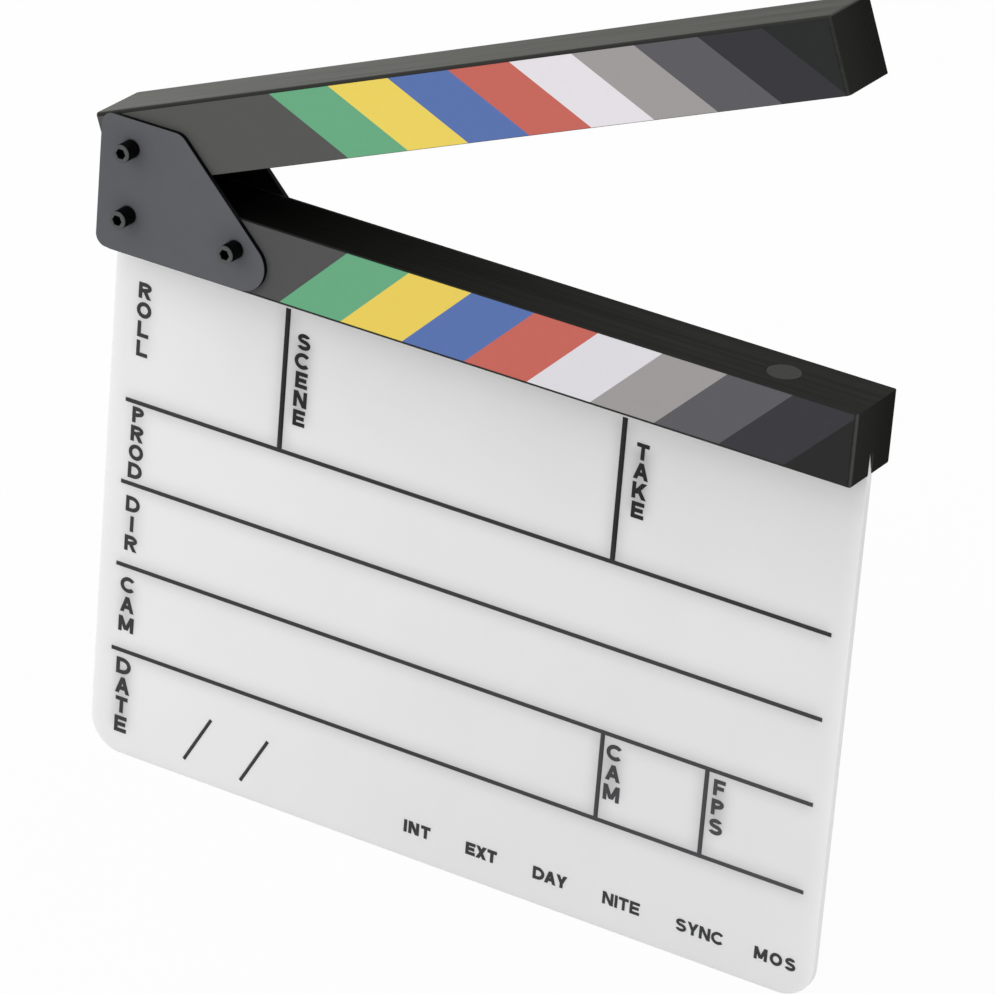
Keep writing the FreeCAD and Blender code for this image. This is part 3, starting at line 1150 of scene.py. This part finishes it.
@dataclass
class WritingBoard:
    """The acrylic board with its ruled fields and their names."""

    ink_height: float = 0.03 * MM
    ink_bite: float = 0.02 * MM
    rule_width: float = 1.57 * MM
    top_divider_width: float = 2.0 * MM
    low_divider_width: float = 1.72 * MM
    slash_width: float = 1.28 * MM
    weld_reach: float = 0.00005 * MM
    divider_top: float = 193.6 * MM
    rule_left: float = -142.9 * MM
    rule_right: float = 143.0 * MM
    rule_levels: tuple[float, ...] = (139.4 * MM, 107.4 * MM, 74.9 * MM, 41.1 * MM)
    top_dividers: tuple[float, ...] = (-78.0 * MM, 57.55 * MM)
    low_dividers: tuple[float, ...] = (60.2 * MM, 101.8 * MM)
    slash_heads: tuple[Point, ...] = ((-98.8 * MM, 26.0 * MM), (-74.5 * MM, 25.5 * MM))
    slash_run: float = -10.5 * MM
    slash_drop: float = -19.2 * MM
    # Each name, its column, the levels of its first and last letters, and how strong the painted shade beside
    # it is
    stacked: tuple[StackedWord, ...] = (
        StackedWord("ROLL", LEFT_COLUMN, 182.6 * MM, 160.4 * MM, 0.85),
        StackedWord("SCENE", -70.9 * MM, 182.8 * MM, 153.8 * MM, 1.9),
        StackedWord("TAKE", 65.4 * MM, 183.1 * MM, 161.3 * MM, 2.0),
        StackedWord("PROD", LEFT_COLUMN, 134.5 * MM, 112.7 * MM),
        StackedWord("DIR", LEFT_COLUMN, 99.5 * MM, 84.1 * MM),
        StackedWord("CAM", LEFT_COLUMN, 67.5 * MM, 51.8 * MM, 1.5),
        StackedWord("CAM", 65.5 * MM, 68.5 * MM, 52.8 * MM, 1.7),
        StackedWord("FPS", 107.0 * MM, 69.0 * MM, 54.0 * MM, 1.6),
        StackedWord("DATE", LEFT_COLUMN, 34.9 * MM, 11.5 * MM, 1.7, height=6.5 * MM),
    )
    # Each word, its two ends, and the weight of its strokes as a share of its height
    level: tuple[LevelWord, ...] = (
        LevelWord("INT", -15.8 * MM, -4.9 * MM, 0.27),
        LevelWord("EXT", 9.8 * MM, 22.6 * MM, 0.27),
        LevelWord("DAY", 37.5 * MM, 51.4 * MM, 0.265),
        LevelWord("NITE", 65.9 * MM, 80.9 * MM),
        LevelWord("SYNC", 95.4 * MM, 114.9 * MM),
        LevelWord("MOS", 126.7 * MM, 143.1 * MM, 0.25),
    )

    def dress(self) -> None:
        """Gives the board its finish."""
        low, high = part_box("acrylic_board")
        prints = [word.patch() for word in self.stacked]
        for strokes, width in self._lines().values():
            for (left, foot), (right, head) in strokes:
                if left == right or foot == head:
                    half = ((right - left + width) / 2, (head - foot + width) / 2)
                    prints.append(Patch(((left + right) / 2, (foot + head) / 2), half))
        stick_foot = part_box("lower_stick")[0].z
        dress(FrostedAcrylic("frosted_acrylic", low, high, tuple(prints), stick_foot), "acrylic_board")

    def build(self) -> None:
        """Prints the rules, the slashes and the words on the written face."""
        rubbed_ink = PrintInk("rubbed_ink", fade=1.0).material()
        fresh_ink = PrintInk("fresh_ink").material()
        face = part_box("acrylic_board")[0].y
        common = {"Height": self.ink_height + self.ink_bite, "Face": face + self.ink_bite}
        lines = self._line_sheet()
        for name, (strokes, width) in self._lines().items():
            lines.make(name, self._edges(name, strokes), {"Width": width, "Material": rubbed_ink, **common})
        words = self._word_sheet()
        for name, group, ink in (("field_names", self.stacked, rubbed_ink),
                                 ("choice_words", self.level, fresh_ink)):
            letters = [letter for word in group for letter in word.letters()]
            words.make(name, self._letter_mesh(name, letters), {"Material": ink, **common})

    def _lines(self) -> dict[str, tuple[list[Stroke], float]]:
        """Lays out the straight lines of the print.

        Returns:
            The lines of each piece and their width.
        """
        upper, *_, middle, lowest = self.rule_levels
        half = self.rule_width / 2
        rules = [((self.rule_left, level), (self.rule_right, level)) for level in self.rule_levels]
        top = [((x, upper + half), (x, self.divider_top)) for x in self.top_dividers]
        low = [((x, lowest + half), (x, middle - half)) for x in self.low_dividers]
        slashes = [((x, z), (x + self.slash_run, z + self.slash_drop)) for x, z in self.slash_heads]
        return {
            "ruled_lines": (rules, self.rule_width),
            "top_dividers": (top, self.top_divider_width),
            "low_dividers": (low, self.low_divider_width),
            "date_slashes": (slashes, self.slash_width),
        }

    @staticmethod
    def _edges(name: str, strokes: Sequence[Stroke]) -> Mesh:
        """Makes a mesh of loose edges, one for each stroke, lying flat."""
        points = [(x, up, 0.0) for stroke in strokes for x, up in stroke]
        return simple_mesh(name, points, [(start, start + 1) for start in range(0, len(points), 2)])

    def _letter_mesh(self, name: str, letters: Sequence[Sequence[Ribbon]]) -> Mesh:
        """Makes a flat mesh of letters, with the strokes of each joined into one outline.

        Args:
            name: The mesh's name.
            letters: The strokes of each letter.

        Returns:
            The mesh, facing up.
        """
        points: list[Place] = []
        faces: list[list[int]] = []
        for strokes in letters:
            corners: list[Vector] = []
            outlines: list[list[int]] = []
            for left, right in strokes:
                start = len(corners)
                corners += [Vector(corner) for corner in (*right, *reversed(left))]
                outlines.append(list(range(start, len(corners))))
            joined = delaunay_2d_cdt(corners, [], outlines, INSIDE, self.weld_reach)
            spots, _, triangles, _, _, owners = joined
            start = len(points)
            points += [(x, up, 0.0) for x, up in spots]
            faces += [[start + spot for spot in triangle]
                      for triangle, owner in zip(triangles, owners) if owner]
        return simple_mesh(name, points, (), faces)

    @staticmethod
    def _line_sheet() -> GeometrySheet:
        """Writes the tree that turns loose edges into flat bars of ink on the written face.

        Returns:
            The tree.
        """
        sheet = GeometrySheet("ink_lines", "Width", "Height", "Face")
        curve = sheet.node("GeometryNodeMeshToCurve", None, {"Mesh": sheet.given["Geometry"]})
        level = sheet.node("GeometryNodeSetCurveNormal", {"mode": "Z_UP"}, {"Curve": curve})
        bars = sheet.swept(level, sheet.rectangle(), capped=True)
        half = sheet.node("ShaderNodeMath", {"operation": "MULTIPLY"}, {0: sheet.given["Height"], 1: 0.5})
        raised = sheet.moved(bars, {"Z": half})
        return sheet.finished(sheet.moved(raised, {"Y": sheet.given["Face"]}, QUARTER_TURN))

    def _word_sheet(self) -> GeometrySheet:
        """Writes the tree that thickens flat letters and stands them on the written face.

        Returns:
            The tree.
        """
        sheet = GeometrySheet("ink_words", "Height", "Face")
        flat = sheet.given["Geometry"]
        tops = sheet.node("GeometryNodeExtrudeMesh", {"mode": "FACES"},
                          {"Mesh": flat, "Offset Scale": sheet.given["Height"], "Individual": False})
        floors = sheet.node("GeometryNodeFlipFaces", None, {"Mesh": flat})
        both = sheet.node("GeometryNodeJoinGeometry", None, {"Geometry": [tops, floors]})
        closed = sheet.node("GeometryNodeMergeByDistance", None,
                            {"Geometry": both, "Distance": self.weld_reach})
        return sheet.finished(sheet.moved(closed, {"Y": sheet.given["Face"]}, QUARTER_TURN))


def round_centre(node: str) -> Point:
    """Where a round piece's axis passes, as (x, z)."""
    low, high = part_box(node)
    return ((low.x + high.x) / 2, (low.z + high.z) / 2)


def round_radius(node: str) -> float:
    """How far a round piece reaches from its axis."""
    low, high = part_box(node)
    return (high.x - low.x) / 2


@dataclass
class ClapSticks:
    """The two sticks, their printed strips and the magnets in their clap faces."""

    lower_first_bar: float = -48.68 * MM
    upper_first_bar: float = -49.66 * MM
    # Widths of the painted highlight on each stick's end edges
    lower_crest_highlight: float = 0.3 * MM
    upper_crest_highlight: float = 0.05 * MM
    # The lower strip's print colours, copies of the upper strip's retoned for the light on it: painted shade
    # on the field, yellow, white and black, painted light on the dark grey
    lower_field_shaded: Colour = tint(83, 83, 83)
    lower_yellow_shaded: Colour = tint(234, 207, 94)
    lower_white_shaded: Colour = tint(222, 220, 225)
    lower_dark_grey_lit: Colour = tint(60, 59, 63)
    lower_black_shaded: Colour = tint(42, 43, 42)
    nickel: MetalTone = MetalTone(tint(30, 31, 24), tint(40, 41, 33), metallic=0.2, roughness=0.6)

    def dress(self) -> None:
        """Gives the sticks, strips and magnets their finishes."""
        joint = frame["joints"][0]
        pivot = Vector(joint["pos_m"])
        closing = Matrix.Rotation(-math.radians(joint["range_deg"][0]), 3, "Y")
        low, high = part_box("lower_stick")
        gap = pivot.z - (high.z - low.z) / 2 - high.z
        lift = Vector((0.0, 0.0, high.z - low.z + gap))
        lower = StickFrame(low, high, high.z, Matrix.Identity(3), Vector())
        upper = StickFrame(low + lift, high + lift, low.z + lift.z, closing, pivot - closing @ pivot)
        dress(PaintedWood("painted_wood_lower", lower, self.lower_crest_highlight), "lower_stick")
        dress(PaintedWood("painted_wood_upper", upper, self.upper_crest_highlight), "upper_stick")
        lower_vinyl = StripeVinyl("stripe_vinyl_lower", lower, Lean.RIGHT, self.lower_first_bar,
                                  field=self.lower_field_shaded, yellow=self.lower_yellow_shaded, white=self.lower_white_shaded,
                                  dark_grey=self.lower_dark_grey_lit, black=self.lower_black_shaded)
        upper_vinyl = StripeVinyl("stripe_vinyl_upper", upper, Lean.LEFT, self.upper_first_bar)
        dress(lower_vinyl, "lower_stripe_label")
        dress(upper_vinyl, "upper_stripe_label")
        for node in ("lower_magnet", "upper_magnet"):
            dress(TurnedMetal(node + "_nickel", self.nickel, round_centre(node), round_radius(node)), node)


@dataclass
class HingeSet:
    """The hinge plates, the three screws through them and what runs on the pivot."""

    places: tuple[str, ...] = ("pivot", "left", "right")
    shank_radius: float = 2.0 * MM
    thread_pitch: float = 0.7 * MM
    thread_stand_out: float = 0.15 * MM
    insert_width: float = 0.5 * MM
    insert_stand_out: float = 0.06 * MM
    thread_steps: int = 40
    ridge_sides: int = 8
    insert_steps: int = 48
    zinc: MetalTone = MetalTone(tint(58, 58, 60), tint(112, 112, 114), metallic=0.85, roughness=0.36)
    brass: MetalTone = MetalTone(tint(172, 138, 68), tint(214, 184, 108), metallic=1.0, roughness=0.28)
    nylon_pale: Colour = tint(222, 219, 208)
    nylon_dim: Colour = tint(203, 199, 186)
    insert_pale: Colour = tint(70, 92, 140)
    insert_dim: Colour = tint(58, 78, 122)

    @staticmethod
    def _screw_node(place: str) -> str:
        """The name of the screw at a place."""
        return "pivot_screw" if place == "pivot" else place + "_hinge_screw"

    def _centres(self) -> tuple[Point, ...]:
        """Where the axes of the screws pass, as (x, z)."""
        return tuple(round_centre(self._screw_node(place)) for place in self.places)

    def dress(self) -> None:
        """Gives the plates, fasteners, bush and friction washers their finishes."""
        centres = self._centres()
        front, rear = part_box("front_hinge_plate")[0].y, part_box("rear_hinge_plate")[1].y
        head, washer = round_radius("pivot_screw"), round_radius("pivot_rear_washer")
        dress(PowderCoat("powder_coat_front", front, centres, head), "front_hinge_plate")
        dress(PowderCoat("powder_coat_rear", rear, centres, washer), "rear_hinge_plate")
        for place, centre in zip(self.places, centres):
            screw = self._screw_node(place)
            dress(BlackScrew(screw + "_black", centre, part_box(screw)[0].y), screw)
            for node in (place + "_lock_nut", place + "_rear_washer"):
                dress(TurnedMetal(node + "_zinc", self.zinc, centre, round_radius(node)), node)
        dress(TurnedMetal("turned_brass", self.brass, centres[0], round_radius("pivot_bush")), "pivot_bush")
        nylon = PlainPolymer("natural_nylon", self.nylon_pale, self.nylon_dim)
        dress(nylon, "front_friction_washer", "rear_friction_washer")

    def build(self) -> None:
        """Cuts a thread on each screw's tip and sets a nylon insert in each lock nut."""
        nut_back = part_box("pivot_lock_nut")[1].y
        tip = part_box("pivot_screw")[1].y
        steel = BlackScrew("thread_black", round_centre("pivot_screw"), -tip).material()
        nylon = PlainPolymer("insert_nylon", self.insert_pale, self.insert_dim).material()
        seats = [(x, nut_back, z) for x, z in self._centres()]
        threads = self._thread_sheet().make("screw_threads", simple_mesh("thread_seats", seats), {
            "Radius": self.shank_radius, "Pitch": self.thread_pitch, "Length": tip - nut_back,
            "Stand out": self.thread_stand_out, "Material": steel})
        inserts = self._insert_sheet().make("nut_inserts", simple_mesh("insert_seats", seats), {
            "Radius": self.shank_radius + self.insert_width / 2, "Width": self.insert_width,
            "Height": 2 * self.insert_stand_out, "Material": nylon})

    @staticmethod
    def _seated(sheet: GeometrySheet, shape: Link) -> GeometrySheet:
        """Ends a tree with its shape pointing backwards from every seat.

        Args:
            sheet: The tree.
            shape: What it has made, pointing up.

        Returns:
            The tree.
        """
        laid = sheet.moved(shape, {}, -QUARTER_TURN)
        return sheet.finished(sheet.node("GeometryNodeInstanceOnPoints", None,
                                         {"Points": sheet.given["Geometry"], "Instance": laid}))

    def _thread_sheet(self) -> GeometrySheet:
        """Writes the tree that winds a ridge round each screw's tip, backwards from its nut.

        Returns:
            The tree.
        """
        sheet = GeometrySheet("screw_thread", "Radius", "Pitch", "Length", "Stand out")
        radius, length = sheet.given["Radius"], sheet.given["Length"]
        turns = sheet.node("ShaderNodeMath", {"operation": "DIVIDE"}, {0: length, 1: sheet.given["Pitch"]})
        helix = sheet.node("GeometryNodeCurveSpiral", None, {
            "Resolution": self.thread_steps, "Rotations": turns, "Start Radius": radius, "End Radius": radius,
            "Height": length})
        section = sheet.circle(self.ridge_sides, sheet.given["Stand out"])
        return self._seated(sheet, sheet.swept(helix, section, capped=True))

    def _insert_sheet(self) -> GeometrySheet:
        """Writes the tree that sets a flat ring in the back of each lock nut.

        Returns:
            The tree.
        """
        sheet = GeometrySheet("nut_insert", "Radius", "Width", "Height")
        circle = sheet.circle(self.insert_steps, sheet.given["Radius"])
        return self._seated(sheet, sheet.swept(circle, sheet.rectangle(), capped=False))


@dataclass
class Studio:
    """A white floor, a soft lamp, a pale sky and the camera."""

    camera_place: Vector = Vector((1024.369 * MM, -1793.011 * MM, 1126.835 * MM))
    camera_azimuth: float = math.radians(29.504)
    camera_elevation: float = math.radians(25.407)
    camera_roll: float = math.radians(4.795)
    focal_length_mm: float = 241.07
    sensor_mm: float = 36.0
    floor_side: float = 8.0
    floor_gap: float = 0.2 * MM
    sky_strength: float = 0.855
    lamp_place: Vector = Vector((-1.4, -2.0, 1.9))
    lamp_aim: Vector = Vector((0.0, 0.0, 0.2))
    lamp_side: float = 2.6
    lamp_watts: float = 20.0

    def build(self) -> None:
        """Sets up the view, the sky, the floor, the lamp and the camera."""
        bpy.context.scene.view_settings.view_transform = "Standard"
        self._sky()
        self._floor()
        self._lamp()
        self._camera()

    def _sky(self) -> None:
        """Lights the scene evenly from all round, behind a white background."""
        world = bpy.data.worlds.new("pale_sky")
        world.use_nodes = True
        sheet = ShaderSheet(world.node_tree)
        strength = self.sky_strength + sheet.seen() * (1 - self.sky_strength)
        glow = sheet.node("ShaderNodeBackground", None, {"Color": WHITE, "Strength": strength})
        sheet.node("ShaderNodeOutputWorld", None, {"Surface": glow})
        bpy.context.scene.world = world

    def _floor(self) -> None:
        """Lays a white floor that keeps a faint shadow."""
        half = self.floor_side / 2
        corners = [(-half, -half), (half, -half), (half, half), (-half, half)]
        mesh = simple_mesh("floor", [(x, y, -self.floor_gap) for x, y in corners], (), [(0, 1, 2, 3)])
        mesh.materials.append(FloorWhite("floor_white").material())
        floor = add_object("floor", mesh)

    def _lamp(self) -> None:
        """Hangs a large soft lamp in front, above and to the left."""
        light = bpy.data.lights.new("soft_lamp", "AREA")
        light.shape = "SQUARE"
        light.size = self.lamp_side
        light.energy = self.lamp_watts
        lamp = add_object("soft_lamp", light)
        lamp.location = self.lamp_place
        lamp.rotation_euler = (self.lamp_aim - self.lamp_place).to_track_quat("-Z", "Y").to_euler()

    def _camera(self) -> None:
        """Puts the camera where the photograph was taken from."""
        lens = bpy.data.cameras.new("camera")
        lens.sensor_width = self.sensor_mm
        lens.lens = self.focal_length_mm
        camera = add_object("camera", lens)
        tilt = Matrix.Rotation(QUARTER_TURN - self.camera_elevation, 3, "X")
        heading = Matrix.Rotation(self.camera_azimuth, 3, "Z")
        roll = Matrix.Rotation(self.camera_roll, 3, "Z")
        camera.matrix_world = Matrix.Translation(self.camera_place) @ (heading @ tilt @ roll).to_4x4()
        bpy.context.scene.camera = camera


def main() -> None:
    """Builds and dresses the clapperboard, sub-assembly by sub-assembly."""
    logging.basicConfig(level=logging.INFO, format="%(name)s: %(message)s")
    board = WritingBoard()
    board.dress()
    board.build()
    ClapSticks().dress()
    hinge = HingeSet()
    hinge.dress()
    hinge.build()
    Studio().build()


if __name__ == "__main__":
    main()
